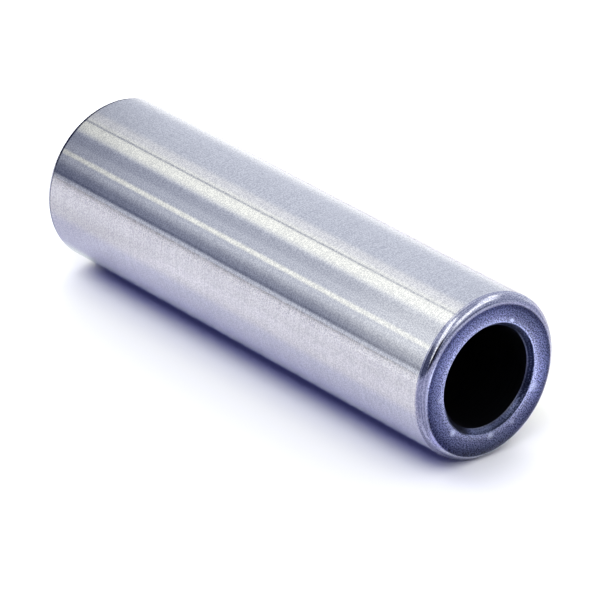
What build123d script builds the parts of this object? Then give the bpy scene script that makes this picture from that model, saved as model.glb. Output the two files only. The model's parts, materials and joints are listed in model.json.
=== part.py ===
# Gudgeon pin: the hollow hardened steel pin that joins a piston to its connecting rod.
# It is one turned and ground piece. It stands on one end, with its origin at the centre of
# the lower end face and +Z along its axis. All sizes are in millimetres.

import os
from math import sqrt

from build123d import *

# Driving dimensions
length = 61.0  # from end face to end face
outer_diameter = 18.0  # of the ground side
bore_diameter = 11.0
edge_radius = 1.5  # turned round the outer edge of the blank at each end
grinding_allowance = 0.15  # ground off the blank's radius, so the side cuts the edge radius short
lead_in_width = 0.5  # of the chamfer at each end of the bore, measured across the end face
lead_in_depth = 0.65  # of the same chamfer, measured along the bore
mouth_round = 0.25  # radius that breaks the corner between end face and lead-in

# Radii and heights that follow from them
outer_radius = outer_diameter / 2
bore_radius = bore_diameter / 2
mouth_radius = bore_radius + lead_in_width
blank_radius = outer_radius + grinding_allowance
face_radius = blank_radius - edge_radius
edge_length = edge_radius - sqrt(edge_radius**2 - (outer_radius - face_radius) ** 2)


# One end of the section: lead-in chamfer, flat face and rounded edge
def draw_end(face_height, inwards):
    """Draws the lines of the end at face_height; inwards is +1 or -1, into the metal along Z."""
    Polyline(
        (bore_radius, face_height + inwards * lead_in_depth),
        (mouth_radius, face_height),
        (face_radius, face_height),
    )
    # The arc leaves the face smoothly and meets the ground side at a crisp corner.
    TangentArc(
        (face_radius, face_height),
        (outer_radius, face_height + inwards * edge_length),
        tangent=(1, 0),
    )


# The pin: its section turned once round the axis
with BuildPart() as pin:
    with BuildSketch(Plane.XZ):
        with BuildLine():
            draw_end(0, 1)
            draw_end(length, -1)
            Line((bore_radius, lead_in_depth), (bore_radius, length - lead_in_depth))
            Line((outer_radius, edge_length), (outer_radius, length - edge_length))
        make_face()
    revolve(axis=Axis.Z)

    # The corner between each end face and its lead-in is broken by a small radius.
    mouth_corners = [
        edge
        for edge in pin.edges().filter_by(GeomType.CIRCLE)
        if abs(edge.radius - mouth_radius) < 1e-6
    ]
    fillet(mouth_corners, mouth_round)

pin.part.label = "gudgeon_pin"

os.makedirs("parts", exist_ok=True)
export_step(pin.part, "parts/gudgeon_pin.step")
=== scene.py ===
import json
from math import acos, atan2, cos, radians, sin, tan, tau

import bmesh
import bpy
from mathutils import Matrix, Vector


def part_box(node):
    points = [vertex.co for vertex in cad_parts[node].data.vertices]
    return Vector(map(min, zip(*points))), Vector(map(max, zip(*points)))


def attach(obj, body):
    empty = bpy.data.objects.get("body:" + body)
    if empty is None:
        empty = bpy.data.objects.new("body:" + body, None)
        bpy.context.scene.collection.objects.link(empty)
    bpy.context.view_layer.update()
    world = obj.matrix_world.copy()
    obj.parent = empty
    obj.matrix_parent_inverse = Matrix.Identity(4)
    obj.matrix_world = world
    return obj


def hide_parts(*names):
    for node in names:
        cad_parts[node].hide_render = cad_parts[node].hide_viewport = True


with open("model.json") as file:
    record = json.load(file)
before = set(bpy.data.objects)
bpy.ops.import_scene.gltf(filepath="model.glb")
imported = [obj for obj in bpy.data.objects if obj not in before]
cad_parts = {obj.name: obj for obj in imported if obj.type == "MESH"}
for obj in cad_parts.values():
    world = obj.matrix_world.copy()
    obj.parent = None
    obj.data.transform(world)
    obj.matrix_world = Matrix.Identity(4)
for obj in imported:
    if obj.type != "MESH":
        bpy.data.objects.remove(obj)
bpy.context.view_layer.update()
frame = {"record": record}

# Gudgeon pin
# One hollow bar of hardened steel, turned with rounded ends and a lead-in at each mouth of
# its bore, then ground on the side. Its section is drawn for one half, turned round and mirrored.
pin_low, pin_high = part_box("gudgeon_pin")
mounts = {mount["name"]: mount["dims"] for mount in frame["record"]["mounts"]}
mm = 0.001
pin_length = pin_high.z - pin_low.z
half_length = pin_length / 2
outer_radius = mounts["ground_side"]["r_mm"] * mm
bore_radius = mounts["bore"]["r_mm"] * mm
lead_in_depth = (pin_length - mounts["bore"]["length_mm"] * mm) / 2
lead_in_width = 0.5 * mm
mouth_round = 0.25 * mm
edge_radius = 1.5 * mm
edge_length = (pin_length - mounts["ground_side"]["length_mm"] * mm) / 2
corner_turn = radians(5)  # how much of the edge's arc the worn round of the corner takes
steps_round = 256
edge_steps = 12
corner_steps = 6
mouth_steps = 6
mirror_gap = 0.0001 * mm  # within which the mirror joins the halves
slack = 0.001 * mm  # within which a face counts as lying at a radius or a height
sharp_angle = radians(9)  # between two faces, from which the line between them stays sharp

edge_arc = acos(1 - edge_length / edge_radius)
face_radius = outer_radius - edge_radius * sin(edge_arc)
lead_in_slope = atan2(lead_in_depth, lead_in_width)
mouth_tangent = mouth_round * tan(lead_in_slope / 2)
mouth_radius = bore_radius + lead_in_width
worn_arc = edge_arc - corner_turn
worn_round = (outer_radius - face_radius - edge_radius * sin(worn_arc)) / (1 - sin(worn_arc))


def run_arc(bm, start, centre, angle, steps):
    """Draws an arc in the section from the vertex start and returns its last vertex."""
    arc = bmesh.ops.spin(
        bm, geom=[start], cent=centre, axis=(0, -1, 0), angle=angle, steps=steps, use_merge=False
    )
    return next(item for item in arc["geom_last"] if isinstance(item, bmesh.types.BMVert))


def run_line(bm, start, radius, height):
    """Draws a straight line in the section from the vertex start and returns its end."""
    end = bm.verts.new((radius, 0, height))
    bm.edges.new((start, end))
    return end


bm = bmesh.new()
face_rim = bm.verts.new((face_radius, 0, 0))
edge_end = run_arc(bm, face_rim, (face_radius, 0, edge_radius), worn_arc, edge_steps)
worn_centre = (outer_radius - worn_round, 0, edge_radius - (edge_radius - worn_round) * cos(worn_arc))
corner = run_arc(bm, edge_end, worn_centre, tau / 4 - worn_arc, corner_steps)
run_line(bm, corner, outer_radius, half_length)
face_mouth = run_line(bm, face_rim, mouth_radius + mouth_tangent, 0)
mouth_centre = (mouth_radius + mouth_tangent, 0, mouth_round)
mouth_end = run_arc(bm, face_mouth, mouth_centre, -lead_in_slope, mouth_steps)
bore_start = run_line(bm, mouth_end, bore_radius, lead_in_depth)
run_line(bm, bore_start, bore_radius, half_length)
bmesh.ops.spin(
    bm, geom=bm.verts[:] + bm.edges[:], cent=(0, 0, 0), axis=(0, 0, 1), angle=tau,
    steps=steps_round, use_merge=True,
)
# The mirror joins the halves where they touch z = 0, so the pin is centred there for it.
bmesh.ops.translate(bm, vec=(0, 0, -half_length), verts=bm.verts[:])
bmesh.ops.mirror(bm, geom=bm.verts[:] + bm.edges[:] + bm.faces[:], axis="Z", merge_dist=mirror_gap)
bmesh.ops.translate(bm, vec=(0, 0, half_length), verts=bm.verts[:])
bmesh.ops.recalc_face_normals(bm, faces=bm.faces[:])

# Which finish each face of the pin has, from where the face lies
SIDE, EDGE, FACE, MOUTH, BORE = range(5)
for face in bm.faces:
    face.smooth = True
    radii = [vert.co.xy.length for vert in face.verts]
    depth = half_length - abs(face.calc_center_median().z - half_length)
    if min(radii) > outer_radius - slack:
        face.material_index = SIDE
    elif min(radii) > face_radius - slack:
        face.material_index = EDGE
    elif depth < slack:
        face.material_index = FACE
    elif max(radii) > bore_radius + slack:
        face.material_index = MOUTH
    else:
        face.material_index = BORE
for edge in bm.edges:
    edge.smooth = edge.calc_face_angle() < sharp_angle


def add_node(beside, kind, **settings):
    """A new node in the node tree of the socket or node beside it."""
    node = beside.id_data.nodes.new("ShaderNode" + kind)
    for name, value in settings.items():
        setattr(node, name, value)
    return node


def plug(value, socket):
    """Feeds an input with another socket, a number or a plain colour."""
    if isinstance(value, bpy.types.NodeSocket):
        socket.id_data.links.new(value, socket)
    elif isinstance(value, tuple):
        socket.default_value = (*value, 1)
    else:
        socket.default_value = value


def calculate(operation, *values):
    """A Math node on sockets and numbers; returns its output."""
    beside = next(value for value in values if isinstance(value, bpy.types.NodeSocket))
    node = add_node(beside, "Math", operation=operation)
    for value, socket in zip(values, node.inputs):
        plug(value, socket)
    return node.outputs[0]


def multiply(product, *values):
    """The product of sockets and numbers."""
    for value in values:
        product = calculate("MULTIPLY", product, value)
    return product


def fade(value, low, high, low_result=0.0, high_result=1.0):
    """A smooth change from low_result to high_result as value goes from low to high."""
    node = add_node(value, "MapRange", interpolation_type="SMOOTHSTEP")
    plug(value, node.inputs["Value"])
    for name, number in (
        ("From Min", low), ("From Max", high), ("To Min", low_result), ("To Max", high_result),
    ):
        plug(number, node.inputs[name])
    return node.outputs["Result"]


def band_of(value, middle, half_width, soft_edge):
    """A mask that is 1 within half_width of middle and fades out over soft_edge."""
    off = calculate("ABSOLUTE", calculate("SUBTRACT", value, middle))
    return fade(off, half_width, half_width + soft_edge, 1, 0)


def blend_colour(factor, first, second):
    """Mixes two colours, each a socket or a plain colour, by a factor socket."""
    node = add_node(factor, "Mix", data_type="RGBA")
    plug(factor, node.inputs[0])
    plug(first, node.inputs[6])
    plug(second, node.inputs[7])
    return node.outputs[2]


def scale_colour(colour, factor):
    """A colour socket times a socket that is a number or another colour."""
    node = add_node(colour, "VectorMath", operation="MULTIPLY")
    plug(colour, node.inputs[0])
    plug(factor, node.inputs[1])
    return node.outputs["Vector"]


def noise(vector, size, detail, roughness=0.5):
    """Noise with features of about the given size in metres; returns its value."""
    node = add_node(vector, "TexNoise")
    for name, value in (
        ("Vector", vector), ("Scale", 1 / size), ("Detail", detail), ("Roughness", roughness),
    ):
        plug(value, node.inputs[name])
    return node.outputs[0]


def distance_from(vector, x, y):
    """How far the vector lies from the line through x and y that runs along the pin."""
    shifted = add_node(vector, "Mapping")
    plug(vector, shifted.inputs["Vector"])
    shifted.inputs["Location"].default_value = (-x, -y, 0)
    shifted.inputs["Scale"].default_value = (1, 1, 0)
    distance = add_node(vector, "VectorMath", operation="LENGTH")
    plug(shifted.outputs[0], distance.inputs[0])
    return distance.outputs["Value"]


def new_group(name):
    """A node group that takes a vector; returns the group and that vector."""
    group = bpy.data.node_groups.new(name, "ShaderNodeTree")
    group.interface.new_socket(name="Vector", in_out="INPUT", socket_type="NodeSocketVector")
    return group, group.nodes.new("NodeGroupInput").outputs["Vector"]


def put_out(group, **results):
    """Gives the group an output for each result, which is a colour or a number."""
    for name, value in results.items():
        kind = "NodeSocketColor" if value.type == "RGBA" else "NodeSocketFloat"
        group.interface.new_socket(name=name, in_out="OUTPUT", socket_type=kind)
    output = group.nodes.new("NodeGroupOutput")
    for name, value in results.items():
        plug(value, output.inputs[name])


def place_group(group, vector):
    """Places a group on a vector and returns its outputs."""
    node = add_node(vector, "Group", node_tree=group)
    plug(vector, node.inputs["Vector"])
    return node.outputs


# Marks that lathe, grinding wheel and years of use leave round the axis
finer_across = 80  # how many times finer the noise is across the marks than along them
lathe_marks, place = new_group("lathe_marks")
separate = add_node(place, "SeparateXYZ")
plug(place, separate.inputs[0])
x, y, z = separate.outputs
radius = distance_from(place, 0, 0)
from_middle = calculate("ABSOLUTE", calculate("SUBTRACT", z, half_length))
depth = calculate("SUBTRACT", half_length, from_middle)
along_section = calculate("ADD", radius, depth)
stretched = add_node(place, "CombineXYZ")
for value, socket in zip((x, y, multiply(along_section, finer_across)), stretched.inputs):
    plug(value, socket)
put_out(
    lathe_marks,
    Lines=noise(stretched.outputs[0], 8 * mm, 3),
    Grain=noise(place, 0.15 * mm, 2, 0.7),
    Blotches=noise(place, 3.5 * mm, 2),
    Radius=radius,
    # The rounded edge was polished a little off centre, so the rim of the matte face is too.
    Rim=distance_from(place, -0.214 * mm, -0.149 * mm),
    # Degrees round from +X
    Turn=calculate("DEGREES", calculate("ARCTAN2", y, x)),
    Height=z,
)

# Matte blue-violet finish of the turned faces, with painted highlights and shade in some sectors, lighter
# near the bore where hands and tools rub
turned_finish_and_painted_sheen, place = new_group("turned_finish_and_painted_sheen")
marks = place_group(lathe_marks, place)
rim_radius = face_radius + 0.5 * mm  # at which the matte finish gives way to the polished edge
colour = (0.057, 0.062, 0.115)
for outer, inner, lighter in (
    (7.8, 7.2, (0.10, 0.108, 0.183)),
    (7.2, 6.8, (0.125, 0.131, 0.21)),
    (6.8, 6.25, (0.24, 0.25, 0.34)),
):
    colour = blend_colour(fade(marks["Radius"], inner * mm, outer * mm, 1, 0), colour, lighter)
dark_rim = fade(marks["Rim"], rim_radius - 0.6 * mm, rim_radius - 0.2 * mm)
colour = blend_colour(dark_rim, colour, (0.046, 0.05, 0.10))
# Painted highlights and painted shade in some sectors, where the turned marks would catch more or less
# light: degrees round, half width, soft edge, gain.
grain_and_painted_sheen = fade(marks["Grain"], 0.42, 0.58, 0.32, 1.63)
for turn, half_width, soft_edge, gain in (
    (0, 15, 35, 0.12), (-135, 10, 32, -0.12), (153, 5, 22, 0.5), (87, 8, 25, -0.30),
):
    painted_sheen_sector = band_of(marks["Turn"], turn, half_width, soft_edge)
    grain_and_painted_sheen = multiply(grain_and_painted_sheen, calculate("MULTIPLY_ADD", painted_sheen_sector, gain, 1))
colour = scale_colour(colour, grain_and_painted_sheen)
# Places near the bore that are rubbed bright: degrees round from +X, distance out and width in
# millimetres, and share of bare steel. Their borders are ragged.
ragged = fade(marks["Grain"], 0.40, 0.50, 0.45, 1)
for turn, out, width, bare in (
    (272, 6.50, 0.55, 0.95), (223, 6.40, 0.60, 0.7), (160, 6.45, 0.75, 0.6),
    (72, 6.30, 0.42, 0.85), (313, 6.45, 0.55, 0.3), (197, 6.60, 0.45, 0.4),
):
    spot = distance_from(place, out * mm * cos(radians(turn)), out * mm * sin(radians(turn)))
    worn = multiply(fade(spot, 0.1 * width * mm, width * mm, bare, 0), ragged)
    colour = blend_colour(worn, colour, (0.60, 0.63, 0.72))
put_out(
    turned_finish_and_painted_sheen,
    Color=colour,
    Roughness=fade(marks["Lines"], 0.3, 0.7, 0.34, 0.44),
    Height=calculate("ADD", marks["Grain"], multiply(marks["Lines"], 0.6)),
)


def new_finish(name):
    """A bare metal finish; returns its material, its shader and its Object coordinates."""
    finish = bpy.data.materials.new(name)
    finish.use_nodes = True
    shader = finish.node_tree.nodes["Principled BSDF"]
    shader.inputs["Metallic"].default_value = 1
    return finish, shader, add_node(shader, "TexCoord").outputs["Object"]


def raise_marks(height, distance, shader):
    """Bump of a height pattern on the shader's normal; distance is its full height in metres."""
    bump = add_node(shader, "Bump")
    bump.inputs["Distance"].default_value = distance
    plug(height, bump.inputs["Height"])
    plug(bump.outputs["Normal"], shader.inputs["Normal"])


# Ground side, with fine scratches round the pin that draw its highlights out along it
ground_steel, shader, place = new_finish("ground_steel")
marks = place_group(lathe_marks, place)
tint = fade(calculate("ADD", multiply(marks["Lines"], 0.35), marks["Grain"]), 0.57, 0.79)
steel = blend_colour(tint, (0.505, 0.515, 0.557), (0.745, 0.755, 0.777))
# A painted dark line, standing for the dark room mirrored, where the side meets the worn corner at the
# upper end.
corner_height = pin_length - edge_length
painted_dark_line = fade(marks["Height"], corner_height - 0.22 * mm, corner_height - 0.14 * mm)
plug(blend_colour(painted_dark_line, steel, (0.03, 0.035, 0.07)), shader.inputs["Base Color"])
plug(fade(marks["Lines"], 0.3, 0.7, 0.09, 0.12), shader.inputs["Roughness"])
tangent = add_node(shader, "Tangent", direction_type="RADIAL", axis="Z")
plug(tangent.outputs[0], shader.inputs["Tangent"])
shader.inputs["Anisotropic"].default_value = 0.7
shader.inputs["Anisotropic Rotation"].default_value = 0.25
waviness = multiply(marks["Blotches"], 10)
raise_marks(calculate("ADD", marks["Grain"], waviness), 0.0008 * mm, shader)

# Rounded edge: polished by tumbling, with a lighter line where the matte face starts, partly burnished and
# partly a painted highlight of the corner
edge_steel, shader, place = new_finish("tumbled_edge_steel")
marks = place_group(lathe_marks, place)
turned = place_group(turned_finish_and_painted_sheen, place)
tint = fade(calculate("ADD", marks["Lines"], marks["Grain"]), 0.85, 1.15)
polished = blend_colour(tint, (0.28, 0.29, 0.41), (0.58, 0.59, 0.69))
# A lighter line, partly burnished and partly a painted highlight of the corner
burnished_and_highlight = multiply(
    band_of(marks["Rim"], rim_radius + 0.15 * mm, 0.04 * mm, 0.09 * mm),
    fade(marks["Grain"], 0.4, 0.52, 0.3, 0.9),
)
polished = blend_colour(burnished_and_highlight, polished, (0.62, 0.63, 0.72))
matte = fade(marks["Rim"], rim_radius - 0.06 * mm, rim_radius + 0.06 * mm, 1, 0)
plug(blend_colour(matte, polished, turned["Color"]), shader.inputs["Base Color"])
polished_roughness = 0.14
rougher = calculate("SUBTRACT", turned["Roughness"], polished_roughness)
plug(calculate("MULTIPLY_ADD", matte, rougher, polished_roughness), shader.inputs["Roughness"])
raise_marks(marks["Lines"], 0.002 * mm, shader)

# Flat end faces, as turned, with painted highlights and shade in some sectors
face_steel, shader, place = new_finish("turned_face_steel")
turned = place_group(turned_finish_and_painted_sheen, place)
plug(turned["Color"], shader.inputs["Base Color"])
plug(turned["Roughness"], shader.inputs["Roughness"])
raise_marks(turned["Height"], 0.014 * mm, shader)

# Lead-in and the small radius before it, dark but for a lighter ring at the face, partly rubbed and partly
# a painted highlight, and a painted highlight at the bore's corner
mouth_steel, shader, place = new_finish("lead_in_steel")
marks = place_group(lathe_marks, place)
tint = fade(calculate("ADD", marks["Lines"], marks["Grain"]), 0.85, 1.2)
steel = blend_colour(tint, (0.018, 0.022, 0.05), (0.16, 0.185, 0.34))
# A painted highlight on the corner where the lead-in meets the bore
bore_corner = band_of(marks["Radius"], bore_radius + 0.04 * mm, 0.02 * mm, 0.06 * mm)
steel = blend_colour(multiply(bore_corner, 0.3), steel, (0.30, 0.32, 0.42))
# A ring at the face, partly rubbed bright and partly a painted highlight of the small radius
rubbed_and_highlight = multiply(
    fade(marks["Radius"], mouth_radius - 0.05 * mm, mouth_radius + 0.06 * mm),
    fade(marks["Grain"], 0.40, 0.54, 0.2, 1),
)
steel = blend_colour(rubbed_and_highlight, steel, (0.50, 0.53, 0.70))
# Darker on one side of the mouth, and a little darker beside that
dark_sector = multiply(band_of(marks["Turn"], -88, 14, 18), 0.85)
dimmer_sector = multiply(band_of(marks["Turn"], -145, 16, 19), 0.5)
sector_darkening = calculate("MAXIMUM", dark_sector, dimmer_sector)
plug(blend_colour(sector_darkening, steel, (0.012, 0.014, 0.025)), shader.inputs["Base Color"])
shader.inputs["Roughness"].default_value = 0.35
raise_marks(marks["Grain"], 0.01 * mm, shader)

# Bore, painted nearly black for the shade deep inside it
bore_steel, shader, place = new_finish("painted_shade_bore_steel")
marks = place_group(lathe_marks, place)
painted_bore_shade = blend_colour(marks["Lines"], (0.01, 0.01, 0.014), (0.03, 0.03, 0.04))
plug(painted_bore_shade, shader.inputs["Base Color"])
shader.inputs["Roughness"].default_value = 0.5


def make_object(name, bm, *materials):
    """Makes the bmesh an object of the scene, with its materials in order."""
    mesh = bpy.data.meshes.new(name)
    bm.to_mesh(mesh)
    bm.free()
    for material in materials:
        mesh.materials.append(material)
    made = bpy.data.objects.new(name, mesh)
    bpy.context.collection.objects.link(made)
    return made


pin = make_object(
    "gudgeon_pin_turned", bm, ground_steel, edge_steel, face_steel, mouth_steel, bore_steel
)
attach(pin, "root")
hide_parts("gudgeon_pin")

# Ground and floor
# The photo's white ground touches the pin's side, so here it stands upright beside the pin.
# The pin's own floor is under its lower end. Both show from their front only.
up_turn = radians(45)  # of the photo's upward direction, round from +X
up = Vector((cos(up_turn), sin(up_turn), 0))
along = Vector((0, 0, 1))
across = along.cross(up)
ground_size = 4
floor_gap = 0.05 * mm
paper_end = 30 * mm  # how far the mirrored paper reaches past the far end
paper_white = (0.95, 0.95, 0.95)


def reach_along(vector, direction):
    """How far a vector socket reaches along a fixed direction."""
    node = add_node(vector, "VectorMath", operation="DOT_PRODUCT")
    plug(vector, node.inputs[0])
    node.inputs[1].default_value = direction
    return node.outputs["Value"]


def new_sheet(name, kind):
    """A material that shows a share of one kind of shader and is clear for the rest. Returns it
    with that shader, the share's input and the outputs of its light path and geometry."""
    sheet = bpy.data.materials.new(name)
    sheet.use_nodes = True
    nodes = sheet.node_tree.nodes
    nodes.remove(nodes["Principled BSDF"])
    surface = nodes["Material Output"].inputs["Surface"]
    shown = add_node(surface, kind)
    mix = add_node(surface, "MixShader")
    plug(add_node(surface, "BsdfTransparent").outputs[0], mix.inputs[1])
    plug(shown.outputs[0], mix.inputs[2])
    plug(mix.outputs[0], surface)
    path = add_node(surface, "LightPath").outputs
    return sheet, shown, mix.inputs[0], path, add_node(surface, "NewGeometry").outputs


def mirrored_ground(sideways, height, grey):
    """The ground as the steel mirrors it, with painted light and shade, from how far across and along the
    pin a place lies.
    """
    # Painted shade: it darkens far off.
    grey = blend_colour(fade(height, 0, 400 * mm), grey, tuple(0.5 * share for share in grey))
    # Beside the pin it has painted bands of light and shade, which are dimmer past the far end.
    away = calculate("ABSOLUTE", sideways)
    beside = (1.08, 1.12, 1.1)
    for near, far, light in (
        (4.5, 7, (0.72, 0.71, 0.86)), (7, 12, (0.73, 0.72, 0.85)), (12, 16.5, (0.85, 0.82, 0.85)),
    ):
        beside = blend_colour(fade(away, near * mm, far * mm), beside, light)
    past_end = fade(height, pin_length - 11 * mm, pin_length + 5 * mm, 1, 0.68)
    grey = blend_colour(fade(away, 16.5 * mm, 32 * mm), scale_colour(beside, past_end), grey)
    # In front of the near end it has painted shade, and painted light farther forward.
    before = fade(height, -6 * mm, 1 * mm, 1, 0)
    grey = blend_colour(before, grey, (0.40, 0.40, 0.50))
    farther_forward = multiply(
        band_of(height, -27 * mm, 11 * mm, 16 * mm),
        fade(sideways, -11 * mm, -2 * mm),
        fade(sideways, 25 * mm, 45 * mm, 1, 0),
    )
    grey = blend_colour(farther_forward, grey, (1.15, 1.2, 1.5))
    # Painted light just before the near end, on the camera side
    low_light = multiply(
        band_of(height, -3 * mm, 1 * mm, 1.5 * mm), band_of(sideways, -5.5 * mm, 1.5 * mm, 2 * mm)
    )
    grey = blend_colour(low_light, grey, (0.66, 0.66, 0.95))
    # Under the near corner there is a painted shadow, and painted light beside it.
    painted_corner_shadow = multiply(
        band_of(height, 1.3 * mm, 0.9 * mm, 1.2 * mm), fade(sideways, -4.5 * mm, 1 * mm, 1, 0)
    )
    grey = blend_colour(painted_corner_shadow, grey, (0.38, 0.38, 0.47))
    painted_corner_light = multiply(
        band_of(sideways, 8 * mm, 1.5 * mm, 2.5 * mm),
        fade(height, -1.2 * mm, 0),
        fade(height, 5 * mm, 9 * mm, 1, 0),
    )
    return blend_colour(painted_corner_light, grey, (1.12, 1.1, 1.3))


def one_sided(name, mirrored_grey):
    """White paper seen from its front only. The steel mirrors it in this grey with painted light and
    shade, or not if None.
    """
    paper, paint, share, path, geometry = new_sheet(name, "BsdfDiffuse")
    plug(paper_white, paint.inputs["Color"])
    seen = path["Is Camera Ray"]
    if mirrored_grey:
        sideways = reach_along(geometry["Position"], across)
        height = reach_along(geometry["Position"], along)
        # The paper ends behind the far end, and it isn't lit twice by way of the steel.
        behind = multiply(
            calculate("GREATER_THAN", sideways, 0),
            calculate("GREATER_THAN", height, pin_length + paper_end),
        )
        direct = calculate("LESS_THAN", path["Diffuse Depth"], 0.5)
        in_steel = multiply(path["Is Glossy Ray"], direct, calculate("SUBTRACT", 1, behind))
        seen = calculate("MAXIMUM", seen, in_steel)
        grey = mirrored_ground(sideways, height, mirrored_grey)
        plug(blend_colour(path["Is Glossy Ray"], paper_white, grey), paint.inputs["Color"])
    plug(multiply(seen, calculate("SUBTRACT", 1, geometry["Backfacing"])), share)
    return paper


def add_ground(name, centre, normal, material):
    """A square of ground facing along normal."""
    bm = bmesh.new()
    bmesh.ops.create_grid(bm, x_segments=1, y_segments=1, size=ground_size / 2)
    facing = normal.to_track_quat("Z", "Y").to_matrix().to_4x4()
    bmesh.ops.transform(bm, matrix=facing, verts=bm.verts[:])
    bmesh.ops.translate(bm, vec=centre, verts=bm.verts[:])
    make_object(name, bm, material)


lying_centre = half_length * along - outer_radius * up
add_ground("lying_ground", lying_centre, up, one_sided("lying_white", (0.70, 0.675, 0.695)))
add_ground("standing_floor", -floor_gap * along, along, one_sided("floor_white", None))

# Lamp tent
# A veil of lit cloth round the pin that only the steel mirrors. It is thickest where the near
# end mirrors it and thins out farther along.
tent_radius = 60 * mm
tent_height = pin_length + 50 * mm
tent_start = 45.6 * mm  # height at which the near end mirrors it
tent_segments = 64
bm = bmesh.new()
bmesh.ops.create_cone(
    bm, cap_ends=False, segments=tent_segments, radius1=tent_radius, radius2=tent_radius,
    depth=tent_height,
)
bmesh.ops.translate(bm, vec=(0, 0, tent_start + half_length), verts=bm.verts[:])
tent_light, glow, share, path, geometry = new_sheet("tent_light", "Emission")
plug((1, 1, 0.96), glow.inputs["Color"])
glow.inputs["Strength"].default_value = 1.7
sideways = reach_along(geometry["Position"], across)
upwards = reach_along(geometry["Position"], up)
height = reach_along(geometry["Position"], along)
thick = multiply(
    fade(height, tent_start, tent_start + 17 * mm, 0.21, 0), fade(upwards, 8 * mm, 26 * mm, 0.6, 1)
)
thin = multiply(
    fade(height, tent_start, tent_start + 71 * mm, 0.163, 0), fade(upwards, 8 * mm, 26 * mm, 0.2, 1)
)
cloth = multiply(
    calculate("ADD", thick, thin),
    fade(sideways, -20 * mm, 18 * mm, 1, 0),
    fade(height, tent_start - 25 * mm, tent_start - 14 * mm),
    path["Is Glossy Ray"],
    calculate("LESS_THAN", path["Diffuse Depth"], 0.5),
)
plug(cloth, share)
make_object("lamp_tent", bm, tent_light)

# Light
# A white studio seen by the camera. The steel mirrors a ring of softboxes and gaps round the
# pin's axis, and the ground is lit by a plain sky that is brightest over its front half.
world = bpy.data.worlds.new("studio")
bpy.context.scene.world = world
world.use_nodes = True
# Its colour depends on the kind of ray, so rays find its lamps by themselves.
world.cycles.sampling_method = "NONE"
background = world.node_tree.nodes["Background"]
ray = add_node(background, "TexCoord").outputs["Generated"]
towards_up = reach_along(ray, up)
towards_camera_side = reach_along(ray, -across)
towards_far_end = reach_along(ray, along)
angle = calculate("DEGREES", calculate("ARCTAN2", towards_camera_side, towards_up))


def cool(level):
    """A neutral light level, bluer the darker it is."""
    return (level, 1.03 * level**0.96, 1.12 * level**0.78)


def warm(level):
    """A bright lamp, a little warm."""
    return (level, level, level * 0.92)


def add_bands(colour, bands):
    """Lays bands of light round the pin: degrees from straight up, half width, soft edge, light."""
    for middle, half_width, soft_edge, light in bands:
        colour = blend_colour(band_of(angle, middle, half_width, soft_edge), colour, light)
    return colour


def directed(up_share, across_share, along_share):
    """A direction from its shares along up, across and along."""
    return (up_share * up + across_share * across + along_share * along).normalized()


def spot(middle, full, end):
    """A mask for a round lamp that is full and ends at these degrees from its middle."""
    return fade(reach_along(ray, middle), cos(radians(end)), cos(radians(full)))


def strip(square_to, middle, half_width, soft_edge, reach):
    """A mask for a straight strip in the plane square to square_to, within reach of middle."""
    line = band_of(reach_along(ray, square_to), 0, sin(radians(half_width)), sin(radians(soft_edge)))
    return multiply(line, spot(middle, reach, reach + 8))


# Long lamps and gaps beside the pin
studio = add_bands(cool(0.84), (
    (-112, 2, 40, (1.30, 1.31, 1.33)),
    (3, 8, 13, warm(1.44)),
    (-12, 2, 10, (1.12, 1.12, 1.15)),
    (-0.6, 0.5, 1.2, cool(0.36)),
    (40, 17, 6, cool(0.70)),
    (29.5, 4, 6, cool(0.56)),
    (53, 1.6, 2.8, warm(1.36)),
    (78, 2, 19, cool(0.30)),
    (83.1, 0.7, 2.2, cool(0.18)),
    (90.2, 3.2, 2.0, cool(0.74)),
))
# Before the near end: a dark flag, two bright strips, a round lamp, a low gap and the camera
front = cool(0.60)
for light, mask in (
    (cool(0.10), band_of(angle, 70, 19, 7)),
    (warm(2.2), strip(directed(-0.083, 0.878, -0.471), directed(0.60, -0.34, -0.72), 6, 5, 23)),
    (warm(2.1), strip(directed(-0.76, 0.56, -0.33), directed(0.62, 0.46, -0.63), 5.5, 4.5, 27)),
    (warm(2.4), spot(directed(0.64, 0.59, -0.50), 7, 14)),
    (cool(0.16), multiply(band_of(towards_up, 0.14, 0.03, 0.05), fade(towards_far_end, -0.7, -0.85))),
    ((0.005, 0.005, 0.015), strip(directed(-0.35, 0.85, -0.39), directed(0.12, -0.40, -0.91), 6.5, 4, 16)),
):
    front = blend_colour(mask, front, light)
studio = blend_colour(fade(towards_far_end, -0.12, -0.3), studio, front)
# Past the far end the room is dark.
studio = blend_colour(fade(towards_far_end, 0.72, 0.79), studio, (0.01, 0.015, 0.06))

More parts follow.
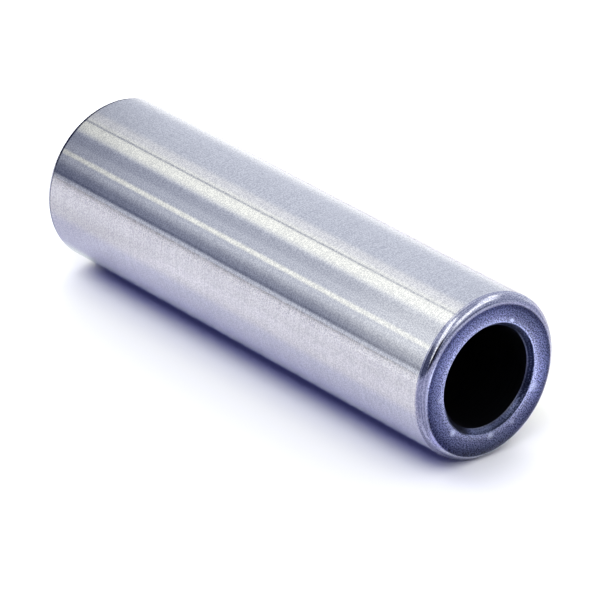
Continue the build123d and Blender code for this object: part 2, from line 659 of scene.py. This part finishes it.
# What lights the white ground: most of it comes from above, a little towards the camera side
sky = add_bands((0.88, 0.89, 0.93), (
    (-15, 15, 12, (0.72, 0.73, 0.75)),
    (1, 8, 6, (1.42, 1.42, 1.05)),
    (27, 12, 7, (2.85, 2.9, 2.75)),
    (41, 4, 3, (1.55, 1.6, 2.8)),
    (67, 22, 3, (0.11, 0.125, 0.52)),
))
from_behind = multiply(band_of(angle, -62, 26, 10), fade(towards_far_end, 0, 0.3))
sky = blend_colour(from_behind, sky, (3.5, 3.52, 3.6))
tilt = blend_colour(fade(towards_far_end, -1, 1), (1.03, 1.03, 1.12), (1.03, 1.03, 1.0))
low_front = multiply(fade(towards_far_end, -0.3, -0.55), fade(towards_up, 0.2, 0.5, 1, 0))
sky = blend_colour(low_front, scale_colour(sky, tilt), (0.35, 0.36, 0.45))
sky = blend_colour(fade(towards_up, 0, -0.03), sky, (1.2, 1.2, 1.2))

# Light that the ground gets by way of the steel is dim, so the shadow stays deep.
path = add_node(background, "LightPath").outputs
by_way_of_steel = calculate("GREATER_THAN", path["Diffuse Depth"], 0.5)
studio = blend_colour(by_way_of_steel, studio, (0.02, 0.02, 0.05))
colour = blend_colour(path["Is Glossy Ray"], sky, studio)
seen = calculate("MAXIMUM", path["Is Camera Ray"], path["Is Transmission Ray"])
plug(blend_colour(seen, colour, (1, 1, 1)), background.inputs["Color"])

# Camera
# A long lens that looks down on the ground and along the pin from its near end, as in the photo.
# Its numbers are in pixels of the photo: the focal length, and where and how large the near end is.
picture_side = 600
focal_length = 5699
near_end_at = Vector((489.5, 379.1))
radius_seen = 90.63
look_down = radians(26.75)
look_along = radians(39.65)
sensor_width = 36  # in millimetres, as the lens
forward = cos(look_down) * (cos(look_along) * along + sin(look_along) * across) - sin(look_down) * up
right = forward.cross(up).normalized()
overhead = right.cross(forward)
distance = focal_length * outer_radius / radius_seen
offset = (near_end_at - Vector((picture_side, picture_side)) / 2) * outer_radius / radius_seen
camera_place = -forward * distance - right * offset.x + overhead * offset.y
camera_data = bpy.data.cameras.new("camera")
camera_data.sensor_width = sensor_width
camera_data.lens = sensor_width * focal_length / picture_side
camera_data.clip_start, camera_data.clip_end = 0.01, 10
camera = bpy.data.objects.new("camera", camera_data)
camera_turn = Matrix((right, overhead, -forward)).transposed().to_4x4()
camera.matrix_world = Matrix.Translation(camera_place) @ camera_turn
bpy.context.collection.objects.link(camera)
bpy.context.scene.camera = camera
bpy.context.scene.view_settings.view_transform = "Standard"
